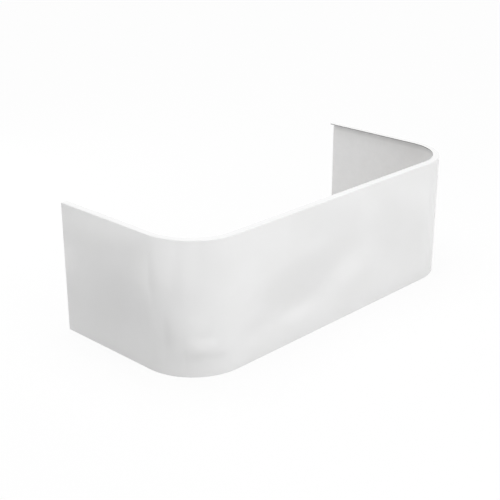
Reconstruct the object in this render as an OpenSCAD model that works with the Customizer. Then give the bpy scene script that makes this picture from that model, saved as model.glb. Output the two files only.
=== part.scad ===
// Three-sided panel for a bath that stands against a wall.
// The open side faces the wall and the front faces -Y.
// The origin is the middle of the footprint, on the floor.

/* [Panel] */
// Length of the panel along the wall
panel_l = 1700; // [1500:10:1900]
// Depth from the wall to the front face
panel_w = 750; // [680:10:900]
// Height from the floor to the top of the lip
panel_h = 560; // [480:5:640]
// Outside radius of the two upright corners
corner_r = 240; // [150:5:280]
// Thickness of the formed acrylic sheet
sheet_t = 4; // [3:0.5:5]
// Width of the top lip from the outer face to its inner edge
lip_w = 29; // [24:1:45]
// Inside radius of the bend between the wall and the lip
bend_r = 1; // [0.5:0.5:3]

/* [Backing] */
// Thickness of the glass-fibre backing on the inside of the sheet
backing_t = 2; // [1:0.5:4]
// How far the backing stops short of the edges of the sheet
backing_edge = 8; // [4:1:20]
// Radius of the resin fillet under the lip
fillet_r = 5; // [2:1:8]

/* [Boards] */
// Thickness of the stiffening boards behind the front
board_t = 12; // [9:1:18]
// Height of the stiffening boards
board_h = 70; // [50:5:90]
// Distance from the top of the lip down to the top board
top_board_drop = 40; // [36:1:60]
// Height of the middle of the mid board as a share of the panel height
mid_board_share = 0.5; // [0.4:0.01:0.55]
// Distance from the end of a board to the start of the corner
board_end = 10; // [0:1:60]
// Thickness of the curved plywood corner formers
former_t = 18; // [12:1:24]
// Width of the corner formers, in plan
former_w = 45; // [30:1:60]

/* [Rails] */
// Width of the timber rails at the bottom
rail_w = 38; // [36:1:50]
// Height of the timber rails
rail_h = 45; // [38:1:60]
// Distance from the wall to the end of a side rail
rail_end = 30; // [16:1:60]

/* [Bonding straps] */
// Thickness of a strap
strap_t = 1.5; // [1:0.5:3]
// Width of a strap
strap_w = 60; // [40:5:80]
// Length of a strap on the backing beside the board or rail
strap_tail = 22; // [12:1:24]

/* [Levelling feet] */
// Outside diameter of the threaded stud
stud_d = 8; // [6:1:10]
// Length of the thread above the spanner collar
stud_l = 48; // [40:1:52]
// How far a foot screws down, and a floor bracket slides down
level_travel = 20; // [10:1:22]
// Diameter of the foot pad
pad_d = 34; // [28:1:36]
// Thickness of the base of the foot pad
pad_base_h = 4; // [3:0.5:6]
// Diameter of the boss on the foot pad
pad_boss_d = 18; // [16:1:20]
// Height of the boss above the base of the pad
pad_boss_h = 4; // [3:0.5:6]
// Width across the flats of the spanner collar and the lock nut
hex_flats = 13; // [12:1:16]
// Thickness of the spanner collar
collar_h = 5; // [4:0.5:8]
// Thickness of the lock nut
nut_h = 6.5; // [5:0.5:8]

/* [Tee nuts] */
// Diameter of the tee nut flange
tee_flange_d = 22; // [18:1:26]
// Thickness of the tee nut flange
tee_flange_t = 1.5; // [1:0.5:2.5]
// Outside diameter of the tee nut barrel
tee_barrel_d = 11; // [11:0.5:13]
// Length of the tee nut barrel inside the rail
tee_barrel_l = 11; // [8:1:15]

/* [Floor brackets] */
// Thickness of the bracket steel
steel_t = 2.5; // [2:0.5:4]
// Inside radius of the bend in a bracket
steel_bend_r = 2; // [1:0.5:4]
// Width of a floor bracket along the rail
floor_bracket_w = 50; // [46:1:60]
// Length of the leg on the floor
floor_leg = 40; // [30:1:50]
// Distance between the two slots of a floor bracket
slot_spacing = 26; // [22:1:30]
// Width of the slots
slot_w = 5.5; // [5:0.5:7]
// Diameter of the holes for floor and wall screws
fixing_hole_d = 6; // [5:0.5:8]
// Distance between the two floor screws of a bracket
floor_hole_spacing = 26; // [20:1:30]

/* [Wall brackets] */
// Thickness of the block that carries a wall bracket
block_t = 18; // [18:1:25]
// Length of that block along the side
block_l = 70; // [60:1:90]
// Height of that block
block_h = 80; // [50:1:90]
// Height of a wall bracket
wall_bracket_h = 40; // [30:1:48]
// Length of the leg on the wall
wall_leg = 40; // [30:1:50]
// Length of the leg on the block
block_leg = 56; // [50:1:60]
// Distance between the two wall screws of a bracket
wall_hole_spacing = 22; // [16:1:24]

/* [Screws] */
// Shank diameter of the wood screws
screw_d = 4; // [3:0.5:4.5]
// Head diameter of the wood screws
screw_head_d = 8; // [7:0.5:9]
// Height of a pan head
pan_head_h = 2.6; // [2:0.2:3.2]
// Length of a screw in the rail
rail_screw_l = 24; // [16:1:28]
// Length of a screw in an end block
block_screw_l = 14; // [10:1:16]
// Diameter of the washer face under the head of a rail screw
washer_d = 11; // [10:1:14]
// Thickness of that washer face
washer_t = 1; // [0.8:0.2:1.6]

/* [Hidden] */
$fn = 64;

// How far a cut runs past the solid it is taken from
overrun = 1;
// Clearance between a moving piece and its neighbour
moving_gap = 0.3;
// Radial clearance of a thread or a pivot
thread_gap = 0.05;
// Radial clearance of a fixed piece in its hole
fit_gap = 0.1;
// Clearance between the spanner collar and the lock nut
collar_clear = 2;
// Depth of the socket in the foot pad
socket_depth = 5;
// Length of the chamfer at the top of the stud
stud_chamfer = 1;
// Height of the turned corners of the lock nut and the collar
hex_chamfer = 0.6;
// Chamfer on the top edge of the foot pad
pad_chamfer = 1.5;
// Distance from the end of a slot to the top of the bracket
slot_end = 7;
// Length of a slot beyond the travel of its screw
slot_spare = 1;
// Height of the bracket screws above the underside of the rail
rail_screw_rise = 9;
// Distance from the top of the rail down to the end of a strap
strap_drop = 24;
// Gap between the top of a side rail and the end block above it
block_rise = 8;
// Width of the cross in a screw head
drive_w = 1;
// Depth of the cross in a screw head
drive_depth = 0.9;
// Length of each arm of the cross in a screw head, as a share of the head diameter
drive_share = 0.6;
// Diameter of the top of a pan head, as a share of the head diameter
pan_top_share = 0.75;
// Distance from the block's wall end to the nearer bracket screw
block_screw_edge = 14;
// Distance between the two screws of a wall bracket
block_screw_spacing = 24;

// Places along the straight part of the front, as shares of its half length
board_strap_shares = [-0.9, -0.42, 0.42, 0.9];
front_foot_share = 0.8;
front_bracket_share = 0.56;
front_strap_shares = [-0.93, -0.28, 0.28, 0.93];
// Places along the straight part of a side, as shares of its length from the corner
side_bracket_share = 0.36;
side_foot_share = 0.76;
side_strap_shares = [0.12, 0.58];

half_l = panel_l / 2;
half_w = panel_w / 2;
// Centre of the right corner's arc
arc_x = half_l - corner_r;
arc_y = corner_r - half_w;
side_l = half_w - arc_y;
// Distance from the outer face to the inner face of the backing
wall_t = sheet_t + backing_t;
inner_r = corner_r - wall_t;

pad_h = pad_base_h + pad_boss_h;
collar_z = pad_h + moving_gap;
nut_z = collar_z + collar_h + collar_clear;
tee_z = nut_z + nut_h;
rail_z = tee_z + tee_flange_t;
rail_top = rail_z + rail_h;
foot_v = rail_w / 2;

top_board_z = panel_h - top_board_drop - board_h;
mid_board_z = panel_h * mid_board_share - board_h / 2;
block_z = rail_top + block_rise;
block_y = half_w - backing_edge - block_l;
block_mid_z = block_z + block_h / 2;
block_face_x = half_l - wall_t - block_t;
wall_fixing_x = block_face_x - (wall_leg + steel_t) / 2;

rail_screw_z = rail_z + rail_screw_rise;
slot_rise = level_travel + slot_spare;
floor_leg_h = rail_screw_z + slot_rise + slot_w / 2 + slot_end;
floor_hole_v = rail_w + moving_gap + steel_t + (floor_leg - steel_t) / 2;

acrylic_white = [0.95, 0.95, 0.95];
backing_white = [0.87, 0.87, 0.84];
strap_tone = [0.84, 0.84, 0.76];
board_brown = [0.66, 0.52, 0.36];
timber = [0.85, 0.72, 0.52];
plywood = [0.78, 0.64, 0.44];
zinc = [0.72, 0.74, 0.76];
pad_black = [0.10, 0.10, 0.11];

// Frames. In each one x runs along the wall of the panel, y runs inwards from the backing, and z is height.

module front_frame() {
    translate([0, wall_t - half_w, 0]) children();
}

// Starts at the corner and runs along the right side towards the wall.
module right_frame() {
    translate([half_l - wall_t, arc_y, 0]) rotate([0, 0, 90]) children();
}

module left_side() {
    mirror([1, 0, 0]) children();
}

module at_front_foot() {
    front_frame() translate([arc_x * front_foot_share, foot_v, 0]) children();
}

module at_side_foot() {
    right_frame() translate([side_l * side_foot_share, foot_v, 0]) children();
}

// Sweeps a profile along the outside of the panel, and stops wall_edge short of the wall.
// The profile's x runs inwards from the outer face.
module sweep_profile(wall_edge = 0) {
    right_corner_sweep() children();
    left_side() right_corner_sweep() children();
    translate([-arc_x, -half_w, 0]) rotate([90, 0, 90]) linear_extrude(2 * arc_x) children();
    right_straight_sweep(wall_edge) children();
    left_side() right_straight_sweep(wall_edge) children();
}

module right_corner_sweep() {
    translate([arc_x, arc_y, 0])
        rotate([0, 0, -90])
        rotate_extrude(angle = 90)
        translate([corner_r, 0]) mirror([1, 0]) children();
}

module right_straight_sweep(wall_edge) {
    translate([half_l, half_w - wall_edge, 0])
        mirror([1, 0, 0])
        rotate([90, 0, 0])
        linear_extrude(side_l - wall_edge) children();
}

// A bend in section: the quarter of a ring that lies below and to the left of its centre.
module quarter_ring(outer, inner) {
    intersection() {
        difference() {
            circle(r = outer);
            circle(r = inner);
        }
        translate([-outer, -outer]) square(outer);
    }
}

module shell_profile() {
    outer_bend = bend_r + sheet_t;
    square([sheet_t, panel_h - outer_bend]);
    translate([outer_bend, panel_h - sheet_t]) square([lip_w - outer_bend, sheet_t]);
    translate([outer_bend, panel_h - outer_bend]) mirror([0, 1]) quarter_ring(outer_bend, bend_r);
}

module backing_profile() {
    under_lip = panel_h - sheet_t;
    lip_reach = lip_w - backing_edge;
    difference() {
        union() {
            translate([sheet_t, backing_edge]) square([backing_t, under_lip - bend_r - backing_edge]);
            translate([sheet_t + bend_r, under_lip - backing_t])
                square([lip_reach - sheet_t - bend_r, backing_t]);
            translate([sheet_t + bend_r, under_lip - bend_r]) circle(r = bend_r);
            translate([wall_t, under_lip - backing_t - fillet_r]) square(fillet_r);
        }
        translate([wall_t + fillet_r, under_lip - backing_t - fillet_r]) circle(r = fillet_r);
    }
}

module panel_shell() {
    color(acrylic_white) sweep_profile() shell_profile();
}

module backing_laminate() {
    color(backing_white) sweep_profile(backing_edge) backing_profile();
}

// Screws. Each one points along +y, with the underside of its head at y = 0.

module drive_cross(face_y) {
    arm = screw_head_d * drive_share;
    for (turn = [0, 90])
        rotate([0, turn, 0])
            translate([-arm / 2, face_y - overrun, -drive_w / 2])
            cube([arm, overrun + drive_depth, drive_w]);
}

module pan_screw(length) {
    difference() {
        union() {
            rotate([90, 0, 0]) cylinder(d1 = screw_head_d, d2 = screw_head_d * pan_top_share, h = pan_head_h);
            rotate([-90, 0, 0]) cylinder(d = screw_d, h = length);
        }
        drive_cross(-pan_head_h);
    }
}

module screw_hole(depth) {
    rotate([-90, 0, 0]) cylinder(r = screw_d / 2 + fit_gap, h = depth);
}

// Places of the screws

// Each bracket screw points out of the bay and into the rail.
module rail_screw_places() {
    for (side = [-1, 1])
        translate([side * slot_spacing / 2, rail_w, rail_screw_z]) rotate([0, 0, 180]) children();
}

module at_front_bracket() {
    front_frame() translate([arc_x * front_bracket_share, 0, 0]) children();
}

module at_side_bracket() {
    right_frame() translate([side_l * side_bracket_share, 0, 0]) children();
}

module block_screw_places() {
    right_frame()
        for (step = [0, 1])
            translate([
                block_y + block_l - arc_y - block_screw_edge - step * block_screw_spacing,
                block_t, block_mid_z
            ])
                rotate([0, 0, 180]) children();
}

// Boards behind the front

// A board runs along the straight part of the front.
module front_board(bottom) {
    color(board_brown)
        front_frame()
        translate([-(arc_x - board_end), 0, bottom])
        cube([2 * (arc_x - board_end), board_t, board_h]);
}

module top_board() {
    front_board(top_board_z);
}

module mid_board() {
    front_board(mid_board_z);
}

// A strap runs over a board from the backing above it to the backing below it.
module board_strap(bottom) {
    translate([-strap_w / 2, 0, 0])
        rotate([90, 0, 90])
        linear_extrude(strap_w)
        difference() {
            union() {
                translate([0, bottom - strap_t]) square([board_t + strap_t, board_h + 2 * strap_t]);
                translate([0, bottom - strap_tail]) square([strap_t, board_h + 2 * strap_tail]);
            }
            translate([-overrun, bottom]) square([board_t + overrun, board_h]);
        }
}

module board_straps() {
    color(strap_tone)
        front_frame()
        for (bottom = [top_board_z, mid_board_z], share = board_strap_shares)
            translate([arc_x * share, 0, 0]) board_strap(bottom);
}

// Curved plywood that joins the rails round a corner

module bottom_former_right() {
    color(plywood)
        translate([arc_x, arc_y, rail_top - former_t])
        rotate([0, 0, -90])
        rotate_extrude(angle = 90)
        translate([inner_r - former_w, 0]) square([former_w, former_t]);
}

module bottom_former_left() {
    left_side() bottom_former_right();
}

// Timber rails at the bottom

module foot_bore() {
    translate([0, 0, rail_z - overrun])
        cylinder(r = tee_barrel_d / 2 + fit_gap, h = rail_h + 2 * overrun);
}

module rail_screw_bores() {
    rail_screw_places() translate([0, -overrun, 0]) screw_hole(rail_screw_l + overrun);
}

module rail_front() {
    color(timber)
        difference() {
            front_frame() translate([-arc_x, 0, rail_z]) cube([2 * arc_x, rail_w, rail_h]);
            at_front_foot() foot_bore();
            left_side() at_front_foot() foot_bore();
            at_front_bracket() rail_screw_bores();
            left_side() at_front_bracket() rail_screw_bores();
        }
}

module rail_right() {
    color(timber)
        difference() {
            right_frame() translate([0, 0, rail_z]) cube([side_l - rail_end, rail_w, rail_h]);
            at_side_foot() foot_bore();
            at_side_bracket() rail_screw_bores();
        }
}

module rail_left() {
    left_side() rail_right();
}

// A strap runs from the backing over the top of a rail and down its inner face.
module rail_strap() {
    translate([-strap_w / 2, 0, 0])
        rotate([90, 0, 90])
        linear_extrude(strap_w)
        difference() {
            union() {
                translate([0, rail_top]) square([strap_t, strap_tail]);
                translate([0, rail_top - strap_drop]) square([rail_w + strap_t, strap_drop + strap_t]);
            }
            translate([-overrun, rail_top - strap_drop - overrun])
                square([rail_w + overrun, strap_drop + overrun]);
        }
}

module side_rail_straps() {
    right_frame()
        for (share = side_strap_shares)
            translate([side_l * share, 0, 0]) rail_strap();
}

module rail_straps() {
    color(strap_tone) {
        front_frame()
            for (share = front_strap_shares)
                translate([arc_x * share, 0, 0]) rail_strap();
        side_rail_straps();
        left_side() side_rail_straps();
    }
}

// Blocks and brackets at the wall

module end_block_right() {
    color(plywood)
        difference() {
            translate([block_face_x, block_y, block_z]) cube([block_t, block_l, block_h]);
            block_screw_places() translate([0, -overrun, 0]) screw_hole(block_screw_l + overrun);
        }
}

module end_block_left() {
    left_side() end_block_right();
}

// Bent steel in section. Its outer faces lie on the two axes.
module angle_profile(leg_x, leg_y) {
    outer_bend = steel_bend_r + steel_t;
    translate([outer_bend, 0]) square([leg_x - outer_bend, steel_t]);
    translate([0, outer_bend]) square([steel_t, leg_y - outer_bend]);
    translate([outer_bend, outer_bend]) quarter_ring(outer_bend, steel_bend_r);
}

module wall_bracket_right() {
    color(zinc)
        difference() {
            translate([block_face_x, half_w, block_mid_z - wall_bracket_h / 2])
                rotate([0, 0, 180])
                linear_extrude(wall_bracket_h) angle_profile(wall_leg, block_leg);
            block_screw_places()
                translate([0, -steel_t - overrun, 0]) screw_hole(steel_t + 2 * overrun);
            for (side = [-1, 1])
                translate([wall_fixing_x, half_w + overrun, block_mid_z + side * wall_hole_spacing / 2])
                rotate([90, 0, 0])
                cylinder(d = fixing_hole_d, h = steel_t + 2 * overrun);
        }
}

module wall_bracket_left() {
    left_side() wall_bracket_right();
}

module side_block_screws() {
    block_screw_places() translate([0, -steel_t, 0]) pan_screw(block_screw_l + steel_t);
}

module wall_bracket_screws() {
    color(zinc) {
        side_block_screws();
        left_side() side_block_screws();
    }
}

// Floor brackets slide down on their screws as the feet lift the panel.

// A screw stands at the bottom of its slot while the foot is screwed right up.
module upright_slot() {
    depth = steel_t + 2 * overrun;
    translate([0, -overrun, rail_screw_z]) {
        rotate([-90, 0, 0]) cylinder(d = slot_w, h = depth);
        translate([0, 0, slot_rise]) rotate([-90, 0, 0]) cylinder(d = slot_w, h = depth);
        translate([-slot_w / 2, 0, 0]) cube([slot_w, depth, slot_rise]);
    }
}

module floor_bracket() {
    color(zinc)
        difference() {
            translate([-floor_bracket_w / 2, rail_w + moving_gap, 0])
                rotate([90, 0, 90])
                linear_extrude(floor_bracket_w) angle_profile(floor_leg, floor_leg_h);
            for (side = [-1, 1])
                translate([side * slot_spacing / 2, rail_w + moving_gap, 0]) upright_slot();
            for (side = [-1, 1])
                translate([side * floor_hole_spacing / 2, floor_hole_v, -overrun])
                cylinder(d = fixing_hole_d, h = steel_t + 2 * overrun);
        }
}

module floor_bracket_front_right() {
    at_front_bracket() floor_bracket();
}

module floor_bracket_front_left() {
    left_side() floor_bracket_front_right();
}

module floor_bracket_side_right() {
    at_side_bracket() floor_bracket();
}

module floor_bracket_side_left() {
    left_side() floor_bracket_side_right();
}

// The washer face under the head holds the bracket against the rail.
module rail_screw() {
    stack = 2 * moving_gap + steel_t;
    translate([0, -stack - washer_t, 0]) pan_screw(rail_screw_l + stack + washer_t);
    translate([0, -stack, 0]) rotate([90, 0, 0]) cylinder(d = washer_d, h = washer_t);
}

module floor_bracket_screws() {
    color(zinc) {
        at_front_bracket() rail_screw_places() rail_screw();
        left_side() at_front_bracket() rail_screw_places() rail_screw();
        at_side_bracket() rail_screw_places() rail_screw();
        left_side() at_side_bracket() rail_screw_places() rail_screw();
    }
}

// Levelling feet: a tee nut in the rail, a lock nut under it, a stud with a spanner collar, and a pad

// A hexagon whose corners are turned down to its flats at both ends.
module hex_piece(height) {
    flats_r = hex_flats / 2;
    corners_r = flats_r / cos(30);
    intersection() {
        cylinder(r = corners_r, h = height, $fn = 6);
        rotate_extrude()
            polygon([
                [0, 0], [flats_r, 0], [corners_r, hex_chamfer], [corners_r, height - hex_chamfer],
                [flats_r, height], [0, height]
            ]);
    }
}

module tee_nut() {
    difference() {
        union() {
            translate([0, 0, tee_z]) cylinder(d = tee_flange_d, h = tee_flange_t);
            translate([0, 0, tee_z]) cylinder(d = tee_barrel_d, h = tee_flange_t + tee_barrel_l);
        }
        translate([0, 0, tee_z - overrun])
            cylinder(r = stud_d / 2 + thread_gap, h = tee_flange_t + tee_barrel_l + 2 * overrun);
    }
}

module lock_nut() {
    difference() {
        translate([0, 0, nut_z]) hex_piece(nut_h);
        translate([0, 0, nut_z - overrun])
            cylinder(r = stud_d / 2 + thread_gap, h = nut_h + 2 * overrun);
    }
}

module at_all_feet() {
    at_front_foot() children();
    left_side() at_front_foot() children();
    at_side_foot() children();
    left_side() at_side_foot() children();
}

module tee_nuts() {
    color(zinc) at_all_feet() tee_nut();
}

module lock_nuts() {
    color(zinc) at_all_feet() lock_nut();
}

module foot_stud() {
    stub_z = pad_h - socket_depth + moving_gap;
    top_z = collar_z + collar_h + stud_l;
    color(zinc) {
        translate([0, 0, stub_z]) cylinder(d = stud_d, h = top_z - stud_chamfer - stub_z);
        translate([0, 0, collar_z]) hex_piece(collar_h);
        translate([0, 0, top_z - stud_chamfer])
            cylinder(d1 = stud_d, d2 = stud_d - 2 * stud_chamfer, h = stud_chamfer);
    }
}

module foot_pad() {
    color(pad_black)
        difference() {
            union() {
                cylinder(d = pad_d, h = pad_base_h - pad_chamfer);
                translate([0, 0, pad_base_h - pad_chamfer])
                    cylinder(d1 = pad_d, d2 = pad_d - 2 * pad_chamfer, h = pad_chamfer);
                cylinder(d = pad_boss_d, h = pad_h);
            }
            translate([0, 0, pad_h - socket_depth])
                cylinder(r = stud_d / 2 + thread_gap, h = socket_depth + overrun);
        }
}

module foot_stud_front_right() {
    at_front_foot() foot_stud();
}

module foot_stud_front_left() {
    left_side() foot_stud_front_right();
}

module foot_stud_side_right() {
    at_side_foot() foot_stud();
}

module foot_stud_side_left() {
    left_side() foot_stud_side_right();
}

module foot_pad_front_right() {
    at_front_foot() foot_pad();
}

module foot_pad_front_left() {
    left_side() foot_pad_front_right();
}

module foot_pad_side_right() {
    at_side_foot() foot_pad();
}

module foot_pad_side_left() {
    left_side() foot_pad_side_right();
}

panel_shell();
backing_laminate();
top_board();
mid_board();
board_straps();
rail_front();
rail_left();
rail_right();
rail_straps();
bottom_former_left();
bottom_former_right();
end_block_left();
end_block_right();
wall_bracket_left();
wall_bracket_right();
wall_bracket_screws();
floor_bracket_front_left();
floor_bracket_front_right();
floor_bracket_side_left();
floor_bracket_side_right();
floor_bracket_screws();
tee_nuts();
lock_nuts();
foot_stud_front_left();
foot_stud_front_right();
foot_stud_side_left();
foot_stud_side_right();
foot_pad_front_left();
foot_pad_front_right();
foot_pad_side_left();
foot_pad_side_right();
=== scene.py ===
# %% [markdown]
# # A three-sided bath panel
# A bath panel is the skirt that hides the legs and pipes under a bath. The real one is a single sheet of
# white acrylic, warmed and pressed over a mould, so that one sheet makes the long front, two round corners,
# two short returns to the wall and a narrow lip along the top. Behind it are the things that keep it stiff
# and level: glass-fibre backing, boards, timber rails, plywood formers, steel brackets and screw-down feet.
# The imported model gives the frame. Each of its nodes either stays and gets a finish here, or is hidden and
# stood for by a more detailed piece that takes the same place.

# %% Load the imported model
import math
import random

import bmesh
import bpy
from mathutils import Matrix, Vector, noise


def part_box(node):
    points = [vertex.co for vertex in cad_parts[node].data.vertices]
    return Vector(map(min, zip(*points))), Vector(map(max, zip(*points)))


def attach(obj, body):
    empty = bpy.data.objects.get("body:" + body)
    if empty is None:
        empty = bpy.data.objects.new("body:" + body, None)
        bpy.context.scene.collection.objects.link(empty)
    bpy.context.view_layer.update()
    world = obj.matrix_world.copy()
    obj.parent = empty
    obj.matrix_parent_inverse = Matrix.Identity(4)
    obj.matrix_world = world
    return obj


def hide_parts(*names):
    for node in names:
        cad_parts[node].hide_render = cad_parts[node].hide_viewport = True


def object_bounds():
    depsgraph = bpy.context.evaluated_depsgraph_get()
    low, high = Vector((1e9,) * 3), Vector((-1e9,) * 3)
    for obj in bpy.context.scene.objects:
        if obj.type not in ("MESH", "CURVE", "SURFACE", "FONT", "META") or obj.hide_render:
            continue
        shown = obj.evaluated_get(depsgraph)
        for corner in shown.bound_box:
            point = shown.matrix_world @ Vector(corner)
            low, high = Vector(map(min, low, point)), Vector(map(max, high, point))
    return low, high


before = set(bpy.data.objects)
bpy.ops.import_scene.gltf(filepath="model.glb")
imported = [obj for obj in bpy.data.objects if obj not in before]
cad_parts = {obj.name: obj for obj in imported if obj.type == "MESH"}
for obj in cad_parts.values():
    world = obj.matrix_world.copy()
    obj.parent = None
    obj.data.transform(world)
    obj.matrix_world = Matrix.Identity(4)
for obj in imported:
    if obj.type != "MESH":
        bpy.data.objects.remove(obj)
cad_low, cad_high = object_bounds()
print("model", [round(v, 4) for v in cad_low], "to", [round(v, 4) for v in cad_high])

# %% [markdown]
# ## The camera
# The photograph looks down on the left corner from about head height. A long lens far away draws the panel
# with little perspective. The place and the lens come from fitting the panel's outline, and no shift is
# needed.

# %% Camera
CAMERA_PLACE = (-3.2116, -2.9445, 1.9572)
LOOKS_DOWN = math.radians(21.804)
LOOKS_RIGHT = math.radians(46.085)
camera_data = bpy.data.cameras.new("camera")
camera_data.sensor_width = 36.0
camera_data.lens = 76.567
camera = bpy.data.objects.new("camera", camera_data)
camera.location = CAMERA_PLACE
camera.rotation_euler = (math.pi / 2 - LOOKS_DOWN, 0.0, -LOOKS_RIGHT)
bpy.context.scene.collection.objects.link(camera)
bpy.context.scene.camera = camera
print("camera", CAMERA_PLACE, "lens", round(camera_data.lens, 3))

# %% [markdown]
# ## Node helpers
# A material is a small network. Writing one with bare calls hides what it does, so these helpers add a node
# and set or link its inputs in one line. A number goes straight to a socket, and a socket makes a link. A
# colour is written as its red, green and blue.

# %% Node helpers
WHITE = (1.0, 1.0, 1.0)


def grey(value):
    return (value, value, value)


def connect(tree, target, value):
    if isinstance(value, bpy.types.NodeSocket):
        tree.links.new(value, target)
    elif target.type == "RGBA":
        target.default_value = (*value, 1.0)
    else:
        target.default_value = value


def add(tree, kind, settings=None, **inputs):
    made = tree.nodes.new(kind)
    for name, value in (settings or {}).items():
        setattr(made, name, value)
    for name, value in inputs.items():
        connect(tree, made.inputs[name.replace("_", " ")], value)
    return made


def calculate(tree, operation, *values):
    made = add(tree, "ShaderNodeMath", {"operation": operation})
    for target, value in zip(made.inputs, values):
        connect(tree, target, value)
    return made.outputs[0]


def plus(tree, first, second):
    return calculate(tree, "ADD", first, second)


def times(tree, first, second):
    return calculate(tree, "MULTIPLY", first, second)


def stretch(tree, value, low, high, to_low=0.0, to_high=1.0, curve="LINEAR"):
    """Maps low..high to to_low..to_high and holds it there."""
    return add(
        tree, "ShaderNodeMapRange", {"clamp": True, "interpolation_type": curve},
        Value=value, From_Min=low, From_Max=high, To_Min=to_low, To_Max=to_high,
    ).outputs["Result"]


def mix_colours(tree, share, first, second):
    made = add(tree, "ShaderNodeMix", {"data_type": "RGBA"})
    connect(tree, made.inputs[0], share)
    connect(tree, made.inputs[6], first)
    connect(tree, made.inputs[7], second)
    return made.outputs[2]


def place_pattern(tree, vector, scale=(1.0, 1.0, 1.0), turn=(0.0, 0.0, 0.0), shift=(0.0, 0.0, 0.0)):
    return add(
        tree, "ShaderNodeMapping", Vector=vector, Scale=scale, Rotation=turn, Location=shift
    ).outputs["Vector"]


def split(tree, vector):
    return add(tree, "ShaderNodeSeparateXYZ", Vector=vector).outputs


def noise_node(tree, vector, scale, detail):
    return add(tree, "ShaderNodeTexNoise", Vector=vector, Scale=scale, Detail=detail).outputs


def noise_value(tree, vector, scale, detail=2.0):
    return noise_node(tree, vector, scale, detail)["Fac"]


def wander(tree, vector, scale, detail, reach):
    """Pushes the places of a pattern about by up to the reach, so that its outlines are ragged."""
    push = noise_node(tree, vector, scale, detail)["Color"]
    made = add(tree, "ShaderNodeVectorMath", {"operation": "MULTIPLY_ADD"})
    for target, value in zip(made.inputs, (push, grey(reach), vector)):
        connect(tree, target, value)
    return made.outputs["Vector"]


def cells(tree, vector, scale):
    """Fills space with cells. Gives three random values for each, and the distance to its edge."""
    colour = add(tree, "ShaderNodeTexVoronoi", Vector=vector, Scale=scale).outputs["Color"]
    edge = add(
        tree, "ShaderNodeTexVoronoi", {"feature": "DISTANCE_TO_EDGE"}, Vector=vector, Scale=scale
    ).outputs["Distance"]
    return add(tree, "ShaderNodeSeparateColor", Color=colour).outputs, edge


def make_group(name, inputs, outputs):
    tree = bpy.data.node_groups.new(name, "ShaderNodeTree")
    tree.interface.new_socket("Vector", in_out="INPUT", socket_type="NodeSocketVector")
    for label, value in inputs.items():
        tree.interface.new_socket(label, in_out="INPUT", socket_type="NodeSocketFloat").default_value = value
    for label in outputs:
        tree.interface.new_socket(label, in_out="OUTPUT", socket_type="NodeSocketFloat")
    start = tree.nodes.new("NodeGroupInput")
    end = tree.nodes.new("NodeGroupOutput")
    return tree, start.outputs, end.inputs


def use_group(tree, group, **inputs):
    return add(tree, "ShaderNodeGroup", {"node_tree": group}, **inputs).outputs


def make_material(name, **values):
    material = bpy.data.materials.new(name)
    material.use_nodes = True
    tree = material.node_tree
    shader = tree.nodes["Principled BSDF"].inputs
    for label, value in values.items():
        connect(tree, shader[label.replace("_", " ")], value)
    place = add(tree, "ShaderNodeTexCoord").outputs
    return material, tree, shader, place


def surface(tree, shader, colour, roughness, height, depth):
    """Connects what a finish is made of: colour, roughness, and a relief of a depth in metres."""
    connect(tree, shader["Base Color"], colour)
    connect(tree, shader["Roughness"], roughness)
    bump = add(tree, "ShaderNodeBump", Height=height, Distance=depth, Strength=1.0)
    connect(tree, shader["Normal"], bump.outputs["Normal"])


print("node helpers ready")

# %% [markdown]
# ## The studio
# The photograph is a catalogue picture: white everywhere, with soft light from above and a little more from
# the front right. A lamp strong enough to burn the floor white would bleach the panel too. So the floor and
# the world only look white to the camera and to mirrors, and the lamps stay at a plain level. The floor
# keeps part of its own shading, so a faint shadow still shows where the panel stands. It is clear from
# below, so that the underside and the feet can be looked at.

# %% Studio helpers
def seen_directly(tree):
    """1 for the camera, for mirrors and through glass, and 0 for the light that falls on a matt surface."""
    rays = add(tree, "ShaderNodeLightPath").outputs
    glossy = calculate(tree, "MAXIMUM", rays["Is Glossy Ray"], rays["Is Transmission Ray"])
    return calculate(tree, "MAXIMUM", rays["Is Camera Ray"], glossy)


def seen_from_below(tree):
    return add(tree, "ShaderNodeNewGeometry").outputs["Backfacing"]


def mix_shaders(tree, share, first, second):
    made = add(tree, "ShaderNodeMixShader")
    for target, value in zip(made.inputs, (share, first.outputs[0], second.outputs[0])):
        connect(tree, target, value)
    return made


def bare_network(owner):
    owner.use_nodes = True
    owner.node_tree.nodes.clear()
    return owner.node_tree


def lay_disc(name, paint, radius, segments):
    shape = bmesh.new()
    bmesh.ops.create_circle(shape, cap_ends=True, segments=segments, radius=radius)
    mesh = bpy.data.meshes.new(name)
    shape.to_mesh(mesh)
    shape.free()
    mesh.materials.append(paint)
    disc = bpy.data.objects.new(name, mesh)
    bpy.context.scene.collection.objects.link(disc)
    return disc


print("studio helpers ready")

# %% World
AMBIENT = 0.40
world = bpy.data.worlds.new("studio")
bpy.context.scene.world = world
tree = bare_network(world)
soft_sky = add(tree, "ShaderNodeBackground", Color=grey(AMBIENT))
white_sky = add(tree, "ShaderNodeBackground", Color=WHITE)
sky = mix_shaders(tree, seen_directly(tree), soft_sky, white_sky)
add(tree, "ShaderNodeOutputWorld", Surface=sky.outputs[0])
print("ambient light", AMBIENT)

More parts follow.
